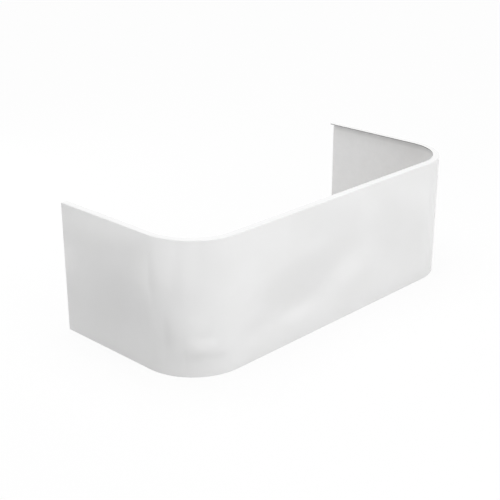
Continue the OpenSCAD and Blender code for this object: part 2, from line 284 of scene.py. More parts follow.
# %% Floor
FLOOR_RADIUS = 40.0
FLOOR_WHITE_SHARE = 0.88
floor_paint = bpy.data.materials.new("studio floor")
tree = bare_network(floor_paint)
matt = add(tree, "ShaderNodeBsdfDiffuse", Color=grey(0.82))
white = add(tree, "ShaderNodeEmission", Color=WHITE)
from_above = mix_shaders(tree, times(tree, seen_directly(tree), FLOOR_WHITE_SHARE), matt, white)
clear = add(tree, "ShaderNodeBsdfTransparent")
both_sides = mix_shaders(tree, seen_from_below(tree), from_above, clear)
add(tree, "ShaderNodeOutputMaterial", Surface=both_sides.outputs[0])
floor = lay_disc("floor", floor_paint, FLOOR_RADIUS, 64)
print("floor radius", FLOOR_RADIUS, "m, white share", FLOOR_WHITE_SHARE)

# %% [markdown]
# Three soft lights do the rest. A wide one straight overhead lights the lip and the floor evenly, and
# because it is a Sun the far floor is as light as the near floor. A big square lamp in front makes the long
# front and the rounded corner lighter than the left return. A weaker one behind lights the inside.

# %% Lamps
def add_lamp(name, kind, place, aim, power, **settings):
    data = bpy.data.lights.new(name, kind)
    data.energy = power
    for setting, value in settings.items():
        setattr(data, setting, value)
    lamp = bpy.data.objects.new(name, data)
    lamp.location = place
    lamp.rotation_euler = (Vector(aim) - Vector(place)).to_track_quat("-Z", "Y").to_euler()
    lamp.visible_glossy = False
    bpy.context.scene.collection.objects.link(lamp)
    print(name, kind, power)


add_lamp("overhead", "SUN", (0.0, 0.0, 4.0), (0.0, 0.0, 0.0), 2.0, angle=math.radians(70.0))
add_lamp("front", "AREA", (-0.35, -4.6, 2.1), (0.0, 0.0, 0.3), 54.0, shape="SQUARE", size=2.2)
add_lamp("inside fill", "AREA", (-0.7, 2.6, 1.4), (0.6, 0.0, 0.3), 13.0, shape="SQUARE", size=1.6)

# %% [markdown]
# A glossy panel is a mirror for what lies on the floor beside it. Photographers use that: dark cards,
# called flags, take light out of the gloss and give a white thing its shape, and small light strips put it
# back. The soft streaks in the photograph are such reflections. Each card here is a disc drawn out to an
# oval, and it fades towards its rim. Only mirrors see it, apart from the two dark ones that also take away
# bounced light. The cards lie on each other in the order of the list, a hair apart.

# %% One card
def lay_card(name, middle, half_length, half_width, turn, brightness, opacity, solid_share, bounced):
    """A card is solid to that share of its radius, and from there it fades to nothing at its rim."""
    paint = bpy.data.materials.new(name)
    tree = bare_network(paint)
    away = add(tree, "ShaderNodeVectorMath", {"operation": "LENGTH"})
    connect(tree, away.inputs[0], add(tree, "ShaderNodeTexCoord").outputs["Object"])
    cover = stretch(tree, away.outputs["Value"], solid_share, 1.0, opacity, 0.0, "SMOOTHSTEP")
    cover = times(tree, cover, calculate(tree, "SUBTRACT", 1.0, seen_from_below(tree)))
    clear = add(tree, "ShaderNodeBsdfTransparent")
    glow = add(tree, "ShaderNodeEmission", Color=WHITE, Strength=brightness)
    add(tree, "ShaderNodeOutputMaterial", Surface=mix_shaders(tree, cover, clear, glow).outputs[0])
    card = lay_disc(name, paint, 1.0, 48)
    card.location = middle
    card.scale = (half_length, half_width, 1.0)
    card.rotation_euler = (0.0, 0.0, math.radians(turn))
    card.visible_diffuse = bounced
    card.visible_camera = card.visible_shadow = card.visible_transmission = False
    print(name, "at", [round(v, 4) for v in middle], "brightness", brightness)


# %% Flags and light strips
LOWEST_CARD = 0.003
CARD_GAP = 0.0005
BOUNCED = ("flag beside the return", "cloth round the corner")
CARDS = (
    # name, X and Y of its middle, half length, half width, turn in degrees, brightness, opacity, solid share
    ("flag beside the return", -1.20, 0.38, 0.60, 0.22, 114.0, 0.0, 0.5, 0.25),
    ("cloth round the corner", -0.96, -0.37, 0.44, 0.13, -35.0, 0.0, 0.23, 0.4),
    ("flag at the corner", -1.18, -0.20, 0.24, 0.10, -22.0, 0.0, 0.9, 0.4),
    ("flag round the corner", -0.88, -0.42, 0.16, 0.04, -42.0, 0.0, 1.0, 0.7),
    ("flag under the corner", -0.73, -0.505, 0.15, 0.032, -10.0, 0.0, 1.0, 0.7),
    ("flag before the toe", -0.28, -0.59, 0.22, 0.06, -22.0, 0.0, 0.6, 0.25),
    ("flag before the front", 0.22, -0.77, 0.62, 0.17, -21.0, 0.0, 0.85, 0.4),
    ("flag between the strips", 0.36, -0.57, 0.36, 0.09, -18.0, 0.0, 0.22, 0.25),
    ("flag by the right corner", 0.87, -1.10, 0.48, 0.24, -40.0, 0.0, 0.48, 0.25),
    ("flag at the far right", 1.07, -0.85, 0.66, 0.20, -32.0, 0.0, 0.40, 0.25),
    ("near strip", -0.10, -0.53, 0.16, 0.07, -15.0, 1.70, 0.95, 0.25),
    ("far strip", 0.45, -0.68, 0.22, 0.08, -20.0, 1.4, 0.9, 0.25),
    ("strip at the upper right", 1.60, -1.02, 0.28, 0.20, -40.0, 1.5, 0.7, 0.25),
    ("left edge strip", -1.315, 1.00, 0.33, 0.06, 126.0, 1.75, 0.85, 0.25),
    ("return strip", -1.50, 0.58, 0.52, 0.13, 129.0, 2.55, 0.65, 0.25),
    ("left softbox", -1.84, 1.12, 0.70, 0.36, 75.0, 2.2, 0.9, 0.25),
    ("corner softbox", -2.08, 0.02, 1.20, 0.66, 88.0, 3.0, 0.95, 0.3),
    ("low softbox", -1.68, -1.02, 0.60, 0.46, -50.0, 2.2, 0.9, 0.4),
    ("strip under the corner", -0.865, -0.555, 0.27, 0.062, -27.0, 2.5, 0.8, 0.5),
    ("strip round the corner", -1.05, -0.66, 0.40, 0.12, -42.0, 1.8, 0.8, 0.25),
)
for number, (name, x, y, *looks) in enumerate(CARDS):
    lay_card(name, (x, y, LOWEST_CARD + number * CARD_GAP), *looks, name in BOUNCED)

# %% [markdown]
# ## Making a piece
# Every piece starts as a bmesh. When its shape is done it becomes a mesh at the origin, is told which body
# of the model it moves with, and hides the node it stands for. Weighted Normal makes broad faces shade
# flat and leaves the rounding to the narrow ones.

# %% Finish a piece
SHARP = math.radians(50.0)


def even_shading(piece):
    shading = piece.modifiers.new("even shading", "WEIGHTED_NORMAL")
    shading.keep_sharp = True
    shading.weight = 50


def finish_piece(bm, name, body, material, stands_for=()):
    for face in bm.faces:
        face.smooth = True
    for edge in bm.edges:
        edge.smooth = edge.calc_face_angle(0.0) < SHARP
    mesh = bpy.data.meshes.new(name)
    bm.to_mesh(mesh)
    bm.free()
    mesh.materials.append(material)
    piece = bpy.data.objects.new(name, mesh)
    bpy.context.scene.collection.objects.link(piece)
    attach(piece, body)
    if stands_for:
        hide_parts(*stands_for)
    even_shading(piece)
    print(f"{name}: {len(mesh.polygons)} faces on {body}")
    return piece


# %% [markdown]
# Most pieces are swept. Their section is drawn flat with its corners rounded, and then its edges are
# dragged along a line or spun round an axis.

# %% Shape helpers
def only(kind, geometry):
    return [g for g in geometry if isinstance(g, kind)]


def far_ring(geometry):
    """The corners that an extrusion or a spin has made last, and the edges among them."""
    fresh = set(only(bmesh.types.BMVert, geometry))
    return list(fresh), [e for e in only(bmesh.types.BMEdge, geometry) if fresh.issuperset(e.verts)]


def move(bm, x, y, z):
    bmesh.ops.translate(bm, vec=(x, y, z), verts=bm.verts[:])


def face_outwards(bm):
    bmesh.ops.recalc_face_normals(bm, faces=bm.faces[:])


def close_ends(bm, *rings):
    return [face for ring in rings for face in bmesh.ops.edgeloop_fill(bm, edges=ring)["faces"]]


def join(bm, piece):
    """Adds one bmesh to another and frees it."""
    spare = bpy.data.meshes.new("spare")
    piece.to_mesh(spare)
    piece.free()
    bm.from_mesh(spare)
    bpy.data.meshes.remove(spare)


def rounded_outline(bm, corners, to_place):
    """Draws a flat face from (across, up, radius, segments) corners, rounds them and keeps its edges."""
    verts = [bm.verts.new(to_place(across, up)) for across, up, _, _ in corners]
    bm.faces.new(verts)
    for vert, (_, _, radius, segments) in zip(verts, corners):
        if radius:
            bmesh.ops.bevel(
                bm, geom=[vert], offset=radius, segments=segments, profile=0.5,
                affect="VERTICES", material=-1,
            )
    bmesh.ops.delete(bm, geom=bm.faces[:], context="FACES_ONLY")
    return bm.edges[:]


def drag(bm, edges, way, steps=1):
    """Extrudes a ring of edges along a straight line, in equal steps."""
    for _ in range(steps):
        verts, edges = far_ring(bmesh.ops.extrude_edge_only(bm, edges=edges)["geom"])
        bmesh.ops.translate(bm, vec=Vector(way) / steps, verts=verts)
    return edges


def turn_corner(bm, edges, centre, steps):
    """Spins a ring of edges a quarter turn clockwise, seen from above."""
    ring = list({v for e in edges for v in e.verts}) + list(edges)
    turned = bmesh.ops.spin(bm, geom=ring, cent=centre, axis=(0, 0, 1), angle=-math.pi / 2, steps=steps)
    return far_ring(turned["geom_last"])[1]


print("shape helpers ready")

# %% [markdown]
# ## The acrylic panel
# The real sheet is 4 mm thick all over, because it is one sheet bent to shape. A box with its inside
# scooped out would not show that. Sweeping the sheet's own section round the bath does: the section is an
# upright wall with a lip, and both bends are rounded before the sweep, so the roundness runs the whole way.

# %% Sizes that the panel is built to, in metres
HALF_LENGTH = cad_high.x
FRONT = cad_low.y
WALL = cad_high.y
TOP = cad_high.z
CORNER = 0.240
CORNER_STEPS = 32
ARC_X = HALF_LENGTH - CORNER
ARC_Y = FRONT + CORNER
SIDE = WALL - ARC_Y
SHEET = 0.004
LIP = 0.029
UNDER_LIP = TOP - SHEET
BACKING = 0.002
INNER = SHEET + BACKING
print("panel", 2 * HALF_LENGTH, "x", WALL - FRONT, "x", TOP, "corner", CORNER)

# %% Along and round the panel
def sweep_round(bm, first, short_of_wall, step_length):
    """Sweeps a ring from the right wall end, round both corners, to the left wall end, and caps both ends."""
    side = SIDE - short_of_wall
    side_steps = max(1, round(side / step_length))
    front_steps = max(1, round(2 * ARC_X / step_length))
    edges = drag(bm, first, (0, -side, 0), side_steps)
    edges = turn_corner(bm, edges, (ARC_X, ARC_Y, 0), CORNER_STEPS)
    edges = drag(bm, edges, (-2 * ARC_X, 0, 0), front_steps)
    edges = turn_corner(bm, edges, (-ARC_X, ARC_Y, 0), CORNER_STEPS)
    last = drag(bm, edges, (0, side, 0), side_steps)
    ends = close_ends(bm, first, last)
    face_outwards(bm)
    return ends


def distance_inwards(co):
    """How far a point lies inside the panel's outer face."""
    if co.y > ARC_Y:
        return HALF_LENGTH - abs(co.x)
    if abs(co.x) > ARC_X:
        return CORNER - math.hypot(abs(co.x) - ARC_X, co.y - ARC_Y)
    return co.y - FRONT


def distance_round(co):
    """How far a point lies from the middle of the front, measured along the outer face."""
    side = math.copysign(1.0, co.x)
    if co.y > ARC_Y:
        return side * (ARC_X + CORNER * math.pi / 2 + co.y - ARC_Y)
    if abs(co.x) > ARC_X:
        return side * (ARC_X + CORNER * math.atan2(abs(co.x) - ARC_X, ARC_Y - co.y))
    return co.x


def wrap_pattern(bm, to_pattern):
    """Writes a UV map in metres, so that a pattern follows the surface at its real scale."""
    layer = bm.loops.layers.uv.new("surface")
    for face in bm.faces:
        for loop in face.loops:
            loop[layer].uv = to_pattern(loop.vert.co)


print("half way round is", round(distance_round(Vector((HALF_LENGTH, WALL, 0.0))), 3), "m")

# %% [markdown]
# White acrylic has a deep, even gloss. It isn't flat like glass: the heat leaves very slow waves, and the
# mould leaves a faint ripple. Both are too small to model, so they go in as a height for the Bump node.
# Handling leaves fine dust that dulls the gloss a little in clouds. Dust settles on the other finishes too,
# so it is a group that is built once.

# %% Groups for dust and for the waves in a sheet
dust_group, start, end = make_group("settled dust", {"Grain": 900.0}, ["Dust", "Cloud"])
cloud = stretch(dust_group, noise_value(dust_group, start["Vector"], 5.0, 3.0), 0.38, 0.66)
specks = stretch(dust_group, noise_value(dust_group, start["Vector"], start["Grain"], 1.0), 0.58, 0.74)
connect(dust_group, end["Dust"], times(dust_group, specks, cloud))
connect(dust_group, end["Cloud"], cloud)

wave_group, start, end = make_group(
    "waves in a sheet", {"Waves": 3.0, "Ripple": 140.0, "Ripple share": 0.004}, ["Height"]
)
slow = noise_value(wave_group, start["Vector"], start["Waves"], 1.0)
ripple = noise_value(wave_group, start["Vector"], start["Ripple"], 1.0)
ripple = times(wave_group, ripple, start["Ripple share"])
connect(wave_group, end["Height"], plus(wave_group, slow, ripple))


def lay_dust(tree, dust, share, colour, dust_colour):
    return mix_colours(tree, times(tree, dust["Dust"], share), colour, dust_colour)


print("groups:", dust_group.name, "and", wave_group.name)

# %% [markdown]
# The gloss is softer where the sheet turns away from the viewer, so that what it mirrors there doesn't
# break up its outline so much.

# %% Acrylic
acrylic, tree, shader, place = make_material("white acrylic", Base_Color=grey(0.82), IOR=1.49)
dust = use_group(tree, dust_group, Vector=place["Object"], Grain=1300.0)
whites = mix_colours(tree, dust["Cloud"], grey(0.826), (0.812, 0.812, 0.810))
whites = lay_dust(tree, dust, 0.25, whites, (0.70, 0.69, 0.67))
dusty_gloss = stretch(tree, dust["Cloud"], 0.0, 1.0, 0.06, 0.10)
turned_away = add(tree, "ShaderNodeLayerWeight", Blend=0.5).outputs["Facing"]
softened = stretch(tree, turned_away, 0.37, 0.66, 0.0, 0.16, "SMOOTHSTEP")
waves = use_group(tree, wave_group, Vector=place["Object"], Waves=3.2, Ripple=160.0, Ripple_share=0.003)
surface(tree, shader, whites, plus(tree, dusty_gloss, softened), waves["Height"], 0.0009)
print("acrylic: gloss dulled by dust, slow waves under it")

# %% [markdown]
# The pressed sheet is trimmed with a saw, so its cut edges, under the panel, at the wall and along the
# inside of the lip, have no gloss. They are matt, with fine marks across them from the teeth, and grey:
# partly from dust and partly as painted shade for the shadow line under the lip. The lip's edge is darkest of
# all, which is painted shade for the shadow under the lip. They get a finish of their own, and the faces that
# need it are found by where they lie.

# %% Sawn acrylic
# Painted shade: the grey of every sawn edge is partly dust and partly painted shade for the shadow line under
# the lip.
sawn, tree, shader, place = make_material("sawn acrylic edge", Base_Color=grey(0.36), IOR=1.49)
teeth = noise_value(tree, place_pattern(tree, place["Object"], scale=(1.0, 1.0, 0.35)), 2400.0, 1.0)
dust = use_group(tree, dust_group, Vector=place["Object"], Grain=1500.0)
edge_dust_and_painted_shade = mix_colours(tree, stretch(tree, teeth, 0.35, 0.65), grey(0.33), grey(0.40))
edge_dust_and_painted_shade = lay_dust(tree, dust, 0.5, edge_dust_and_painted_shade, (0.52, 0.51, 0.50))
# Painted shade: the edge darkens to near black at the lip's underside, standing for the shadow under the lip.
painted_lip_shade = stretch(tree, split(tree, place["Object"])["Z"], UNDER_LIP - SHEET, UNDER_LIP, 0.0, 0.65)
edge_dust_and_painted_shade = mix_colours(tree, painted_lip_shade, edge_dust_and_painted_shade, grey(0.13))
surface(tree, shader, edge_dust_and_painted_shade, stretch(tree, teeth, 0.35, 0.65, 0.42, 0.60), teeth, 0.00006)
print("sawn edge: saw marks, dust and grime, no gloss")

# %% Acrylic panel
EDGE_BREAK = 0.0003
BEND = 0.001


def at_wall_end(across, up):
    return (HALF_LENGTH - across, WALL, up)


def is_sawn(face):
    middle = face.calc_center_median()
    under = face.normal.z < -0.5 and middle.z < SHEET
    at_wall = face.normal.y > 0.9 and middle.y > WALL - SHEET / 4
    upright = abs(face.normal.z) < 0.5
    in_lip = upright and middle.z > UNDER_LIP and distance_inwards(middle) > LIP - SHEET / 4
    return under or at_wall or in_lip


panel_shape = bmesh.new()
panel_ring = rounded_outline(
    panel_shape,
    [
        (0.0, 0.0, 2 * EDGE_BREAK, 2),
        (0.0, TOP, SHEET + BEND, 10),
        (LIP, TOP, BEND, 4),
        (LIP, UNDER_LIP, 2 * EDGE_BREAK, 2),
        (SHEET, UNDER_LIP, BEND, 4),
        (SHEET, 0.0, 2 * EDGE_BREAK, 2),
    ],
    at_wall_end,
)
panel_ends = sweep_round(panel_shape, panel_ring, 0.0, 0.25)
bmesh.ops.bevel(
    panel_shape, geom=list({e for f in panel_ends for e in f.edges}), offset=EDGE_BREAK, segments=2,
    profile=0.5, affect="EDGES", material=-1, clamp_overlap=True,
)
panel_shape.normal_update()
sawn_faces = [face for face in panel_shape.faces if is_sawn(face)]
for face in sawn_faces:
    face.material_index = 1
print("sawn faces", len(sawn_faces))
panel = finish_piece(panel_shape, "acrylic_panel", "panel", acrylic, ["panel_shell"])
panel.data.materials.append(sawn)

# %% [markdown]
# ## The glass-fibre backing
# Acrylic 4 mm thick would flop. In the factory its back is covered with chopped glass strands in polyester
# resin, rolled down by hand, with a resin fillet under the lip. The cured layer is whitish, its strands
# still show and feel rough, and its trimmed edge is never quite straight. It is swept as the panel was. Its
# inner face is cut into a grid first, so that the layer's uneven thickness is real.

# %% Glass strands
strand_group, start, end = make_group("glass strands", {"Width": 700.0}, ["Strands"])
strands = 0.0
for number, angle in enumerate((8.0, 41.0, 79.0, 112.0, 151.0)):
    turned = place_pattern(
        strand_group, start["Vector"], turn=(0, 0, math.radians(angle)), shift=(number * 1.7, number * 0.9, 0)
    )
    thin = place_pattern(strand_group, turned, scale=(0.045, 1.0, 1.0))
    layer = stretch(strand_group, noise_value(strand_group, thin, start["Width"], 0.0), 0.60, 0.72)
    strands = calculate(strand_group, "MAXIMUM", strands, layer)
connect(strand_group, end["Strands"], strands)
print("strands lie in 5 directions")

# %% Backing resin
PAINTED_SHADE_LOW = TOP - 0.036
PAINTED_SHADE_HIGH = TOP - 0.016
backing, tree, shader, place = make_material("glass backing", Base_Color=(0.81, 0.812, 0.816), IOR=1.53)
strands = use_group(tree, strand_group, Vector=place["UV"], Width=620.0)["Strands"]
patches = stretch(tree, noise_value(tree, place["UV"], 22.0, 3.0), 0.35, 0.68)
resin = mix_colours(tree, patches, (0.82, 0.822, 0.826), (0.795, 0.798, 0.802))
resin = mix_colours(tree, times(tree, strands, 0.5), resin, (0.85, 0.852, 0.854))
# Painted shade: the backing is darkened in a band just under the lip, standing for the shadow that the lip
# casts.
painted_shade_under_lip = stretch(tree, split(tree, place["Object"])["Z"], PAINTED_SHADE_LOW, PAINTED_SHADE_HIGH, 0.0, 0.85)
resin = mix_colours(tree, painted_shade_under_lip, resin, (0.64, 0.64, 0.645))
height = plus(tree, strands, times(tree, patches, 1.5))
surface(tree, shader, resin, stretch(tree, strands, 0.0, 1.0, 0.34, 0.55), height, 0.00018)
print("backing: resin patches with strands standing proud")

# %% Glass-fibre backing
TRIM = 0.008
FILLET = 0.005
LAYER_EDGE = 0.0014
UNEVEN = 0.0003
RAGGED = 0.0016
GRID = 0.022


def short_of_wall_end(across, up):
    return (HALF_LENGTH - across, WALL - TRIM, up)


backing_shape = bmesh.new()
backing_ring = rounded_outline(
    backing_shape,
    [
        (SHEET, TRIM, 0, 0),
        (SHEET, UNDER_LIP, BEND, 4),
        (LIP - TRIM, UNDER_LIP, 0, 0),
        (LIP - TRIM, UNDER_LIP - BACKING, LAYER_EDGE, 4),
        (INNER, UNDER_LIP - BACKING, FILLET, 8),
        (INNER, TRIM, LAYER_EDGE, 4),
    ],
    short_of_wall_end,
)
inner_run = [
    e for e in backing_ring
    if e.calc_length() > TOP / 2 and all(abs(v.co.x - (HALF_LENGTH - INNER)) < 1e-5 for v in e.verts)
]
bmesh.ops.subdivide_edges(backing_shape, edges=inner_run, cuts=26)
sweep_round(backing_shape, backing_shape.edges[:], TRIM, GRID)
backing_shape.normal_update()
for vert in backing_shape.verts:
    run, up = distance_round(vert.co), vert.co.z
    if up < TRIM + RAGGED:
        vert.co.z += RAGGED * noise.noise((run * 34.0, 0.0, 8.0))
    elif up < UNDER_LIP - BACKING - FILLET - BEND and abs(vert.normal.z) < 0.2:
        vert.co -= vert.normal * UNEVEN * (1.0 + noise.noise((run * 26.0, up * 26.0, 3.0)))
wrap_pattern(backing_shape, lambda co: (distance_round(co), co.z))
finish_piece(backing_shape, "glass_backing", "panel", backing, ["backing_laminate"])

# %% [markdown]
# ## Dressing a node that stays
# The boards, rails, blocks and brackets have the right shape already, and only their edges are too perfect.
# A sawn or stamped edge always has a small break. The node's own mesh isn't touched: Weld joins its loose
# triangles, Decimate makes them whole flat faces, Bevel breaks only the sharp edges, and Weighted Normal
# evens the shading, all as live modifiers.

# %% Dress a node
def dress(name, material, edge, segments=2, sharper_than=35.0):
    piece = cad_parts[name]
    piece.data.materials.clear()
    piece.data.materials.append(material)
    weld = piece.modifiers.new("join triangles", "WELD")
    weld.merge_threshold = 0.00001
    whole_faces = piece.modifiers.new("whole faces", "DECIMATE")
    whole_faces.decimate_type = "DISSOLVE"
    whole_faces.angle_limit = math.radians(0.5)
    bevel = piece.modifiers.new("broken edges", "BEVEL")
    bevel.width = edge
    bevel.segments = segments
    bevel.limit_method = "ANGLE"
    bevel.angle_limit = math.radians(sharper_than)
    bevel.harden_normals = False
    even_shading(piece)
    low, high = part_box(name)
    print(name, "edge break", edge * 1000, "mm, size", [round(v * 1000, 1) for v in high - low])


print("dressing helper ready")

# %% [markdown]
# ## The boards behind the front
# Two strips of chipboard keep the long front from bowing. Chipboard is flakes of wood glued under heat: its
# faces show pale and brown flakes lying flat, mostly along the board, and its edges are coarser. Voronoi
# cells give flakes, and stretching them along the board lays them down.

# %% Chipboard
chipboard, tree, shader, place = make_material("chipboard", Base_Color=(0.55, 0.40, 0.25), Roughness=0.75)
ragged = wander(tree, place["Object"], 60.0, 1.0, 0.006)
layers = []
for turn, size in ((9.0, 430.0), (-22.0, 640.0)):
    lying = place_pattern(tree, ragged, scale=(0.30, 1.0, 1.0), turn=(0.0, math.radians(turn), 0.0))
    layers.append(cells(tree, lying, size))
(tone, big_gap), (small_tone, small_gap) = layers
covered = stretch(tree, noise_value(tree, place["Object"], 130.0, 2.0), 0.46, 0.54)
wood = mix_colours(tree, tone["Red"], (0.64, 0.49, 0.31), (0.47, 0.32, 0.18))
chips = mix_colours(tree, small_tone["Red"], (0.58, 0.43, 0.27), (0.42, 0.28, 0.15))
wood = mix_colours(tree, covered, wood, chips)
wood = mix_colours(tree, stretch(tree, tone["Green"], 0.82, 1.0), wood, (0.74, 0.60, 0.41))
big_seam = stretch(tree, big_gap, 0.0, 0.10)
seam = calculate(tree, "MINIMUM", big_seam, stretch(tree, small_gap, 0.0, 0.06, 0.4, 1.0))
wood = mix_colours(tree, stretch(tree, seam, 0.0, 1.0, 0.26, 0.0), wood, (0.22, 0.13, 0.07))
fibre = noise_value(tree, place_pattern(tree, place["Object"], scale=(0.08, 1.0, 1.0)), 2400.0, 1.0)
wood = mix_colours(tree, stretch(tree, fibre, 0.35, 0.7, 0.0, 0.35), wood, (0.46, 0.32, 0.19))
gloss = stretch(tree, tone["Blue"], 0.0, 1.0, 0.62, 0.88)
surface(tree, shader, wood, gloss, plus(tree, seam, tone["Red"]), 0.00025)
for board in ("top_board", "mid_board"):
    dress(board, chipboard, 0.0008)

# %% [markdown]
# ## The timber rails
# The rails are sawn softwood battens. Softwood is a stack of yearly rings, pale spring wood that darkens to
# a thin late line. A batten is a straight cut through those rings, so one solid pattern of rings round a
# pith that lies outside the batten draws the long grain on the faces and the arcs on the end grain at once.
# Knots bend the rings round them.

# %% Softwood group
PITH_BESIDE = 0.034
PITH_BELOW = 0.021
PITH_LEANS = 0.035
RINGS_WANDER = 0.012
KNOTS_BEND = 0.006
grain_group, start, end = make_group(
    "softwood rings", {"Rings": 330.0, "Knots": 3.4}, ["Late wood", "Fibre", "Knot"]
)
flat_view = place_pattern(grain_group, start["Vector"], scale=(1.0, 1.6, 0.0), shift=(0.11, 0.02, 0.0))
knot_cell = add(
    grain_group, "ShaderNodeTexVoronoi", {"voronoi_dimensions": "2D"},
    Vector=flat_view, Scale=start["Knots"], Randomness=1.0,
).outputs["Distance"]
knot_near = calculate(grain_group, "POWER", stretch(grain_group, knot_cell, 0.02, 0.12, 1.0, 0.0), 3.0)
along = place_pattern(grain_group, start["Vector"], scale=(0.8, 6.0, 6.0))
slow_wander = noise_value(grain_group, along, 3.0, 2.0)
axes = split(grain_group, start["Vector"])
across = plus(grain_group, axes["Y"], PITH_BESIDE)
across = plus(grain_group, across, times(grain_group, axes["X"], PITH_LEANS))
down = plus(grain_group, axes["Z"], PITH_BELOW)
squares = plus(grain_group, times(grain_group, across, across), times(grain_group, down, down))
away = calculate(grain_group, "SQRT", squares)
away = plus(grain_group, away, times(grain_group, slow_wander, RINGS_WANDER))
away = plus(grain_group, away, times(grain_group, knot_near, KNOTS_BEND))
year = calculate(grain_group, "FRACT", times(grain_group, away, start["Rings"]))
late = calculate(grain_group, "POWER", year, 2.6)
late = times(grain_group, late, stretch(grain_group, year, 0.93, 1.0, 1.0, 0.0))
fine = place_pattern(grain_group, start["Vector"], scale=(0.025, 1.0, 1.0))
connect(grain_group, end["Late wood"], late)
connect(grain_group, end["Fibre"], noise_value(grain_group, fine, 2600.0, 2.0))
connect(grain_group, end["Knot"], stretch(grain_group, knot_cell, 0.022, 0.034, 1.0, 0.0))
print("rings, fibres and knots in one group")


# %% Softwood along X and along Y
def softwood(name, turn, shift):
    material, tree, shader, place = make_material(name, Base_Color=(0.72, 0.52, 0.31), Roughness=0.7)
    along = place_pattern(tree, place["Object"], turn=turn, shift=shift)
    grain = use_group(tree, grain_group, Vector=along, Rings=330.0, Knots=3.4)
    wood = mix_colours(tree, grain["Late wood"], (0.74, 0.55, 0.34), (0.52, 0.31, 0.15))
    streak = stretch(tree, grain["Fibre"], 0.3, 0.7, 0.0, 0.35)
    wood = mix_colours(tree, streak, wood, (0.60, 0.42, 0.24))
    wood = mix_colours(tree, grain["Knot"], wood, (0.24, 0.11, 0.05))
    dust = use_group(tree, dust_group, Vector=along, Grain=700.0)
    wood = mix_colours(tree, times(tree, dust["Cloud"], 0.12), wood, (0.62, 0.58, 0.52))
    gloss = stretch(tree, grain["Late wood"], 0.0, 1.0, 0.78, 0.56)
    height = plus(tree, grain["Late wood"], times(tree, grain["Fibre"], 1.4))
    surface(tree, shader, wood, gloss, height, 0.00022)
    return material


RAIL_MIDDLE = -0.046
FRONT_BATTEN = (0.0, 0.35, RAIL_MIDDLE)
SIDE_BATTEN = (0.0, 0.825, RAIL_MIDDLE)
along_front = softwood("softwood along the front", (0.0, 0.0, 0.0), FRONT_BATTEN)
along_side = softwood("softwood along a side", (0.0, 0.0, -math.pi / 2), SIDE_BATTEN)
dress("rail_front", along_front, 0.0012, 3)
for side in ("left", "right"):
    dress(f"rail_{side}", along_side, 0.0012, 3)

# %% [markdown]
# ## Plywood
# The curved corner formers and the end blocks are 18 mm plywood: thin veneers whose grain alternates, so
# the faces show long grain and the edges show a stripe for each ply, pale where it is cut along and darker
# where it is cut across, with a thin dark glue line between. The stripes are read from the height in the
# board's thickness, which is Z in a former and X in a block.

# %% Plywood
PLIES = 11
PLYWOOD = 0.018
SKIN = 0.0001


def plywood(name, thickness_axis, board_low, grain_turn):
    material, tree, shader, place = make_material(name, Base_Color=(0.66, 0.50, 0.32), Roughness=0.65)
    along = place_pattern(tree, place["Object"], turn=grain_turn)
    grain = use_group(tree, grain_group, Vector=along, Rings=190.0, Knots=0.2)
    height = calculate(tree, "ABSOLUTE", split(tree, place["Object"])[thickness_axis])
    ply = stretch(tree, height, board_low - SKIN, board_low + PLYWOOD + SKIN, 0.0, float(PLIES))
    crossed = calculate(tree, "MODULO", calculate(tree, "FLOOR", ply), 2.0)
    crossed = stretch(tree, crossed, 0.4, 0.6)
    glue = calculate(tree, "SUBTRACT", calculate(tree, "FRACT", ply), 0.5)
    glue = stretch(tree, calculate(tree, "ABSOLUTE", glue), 0.44, 0.5)
    pores = stretch(tree, noise_value(tree, place["Object"], 2300.0, 1.0), 0.45, 0.7)
    cut_across = mix_colours(tree, pores, (0.56, 0.40, 0.24), (0.34, 0.21, 0.11))
    cut_along = mix_colours(tree, grain["Late wood"], (0.74, 0.59, 0.40), (0.62, 0.45, 0.27))
    streak = stretch(tree, grain["Fibre"], 0.3, 0.7, 0.0, 0.3)
    cut_along = mix_colours(tree, streak, cut_along, (0.60, 0.45, 0.29))
    wood = mix_colours(tree, crossed, cut_along, cut_across)
    wood = mix_colours(tree, times(tree, glue, 0.7), wood, (0.22, 0.12, 0.06))
    gloss = stretch(tree, pores, 0.0, 1.0, 0.58, 0.8)
    surface(tree, shader, wood, gloss, calculate(tree, "SUBTRACT", grain["Fibre"], glue), 0.0002)
    return material


print("plywood of", PLIES, "plies,", round(PLYWOOD / PLIES * 1000, 2), "mm each")

# %% Curved corner formers
former_low, former_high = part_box("bottom_former_right")
FORMER_OUT = CORNER - INNER
FORMER_WIDE = 0.045
FORMER_IN = FORMER_OUT - FORMER_WIDE
FORMER_BREAK = 0.0007


def at_right_corner(across, up):
    return (ARC_X + across, ARC_Y, up)


def sweep_corner(corners, steps):
    """Sweeps a section, given by its distance from the corner's centre, round the right corner."""
    bm = bmesh.new()
    outline = rounded_outline(bm, corners, at_right_corner)
    close_ends(bm, outline, turn_corner(bm, outline, (ARC_X, ARC_Y, 0), steps))
    return bm


def put_on_side(bm, side):
    """Leaves a piece on the right, or mirrors it to the left."""
    bmesh.ops.scale(bm, vec=(side, 1, 1), verts=bm.verts[:])
    face_outwards(bm)


former_ply = plywood("plywood lying flat", "Z", former_low.z, (0.0, 0.0, math.radians(24.0)))
for name, side in (("right", 1), ("left", -1)):
    section = [
        (FORMER_IN, former_low.z), (FORMER_OUT, former_low.z),
        (FORMER_OUT, former_high.z), (FORMER_IN, former_high.z),
    ]
    former = sweep_corner([(across, up, FORMER_BREAK, 2) for across, up in section], CORNER_STEPS)
    put_on_side(former, side)
    finish_piece(former, f"corner_former_{name}", "panel", former_ply, [f"bottom_former_{name}"])

# %% End blocks
block_low, block_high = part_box("end_block_right")
block_ply = plywood("plywood on edge", "X", block_low.x, (0.0, math.pi / 2, 0.0))
for side in ("left", "right"):
    dress(f"end_block_{side}", block_ply, 0.0009, 3)

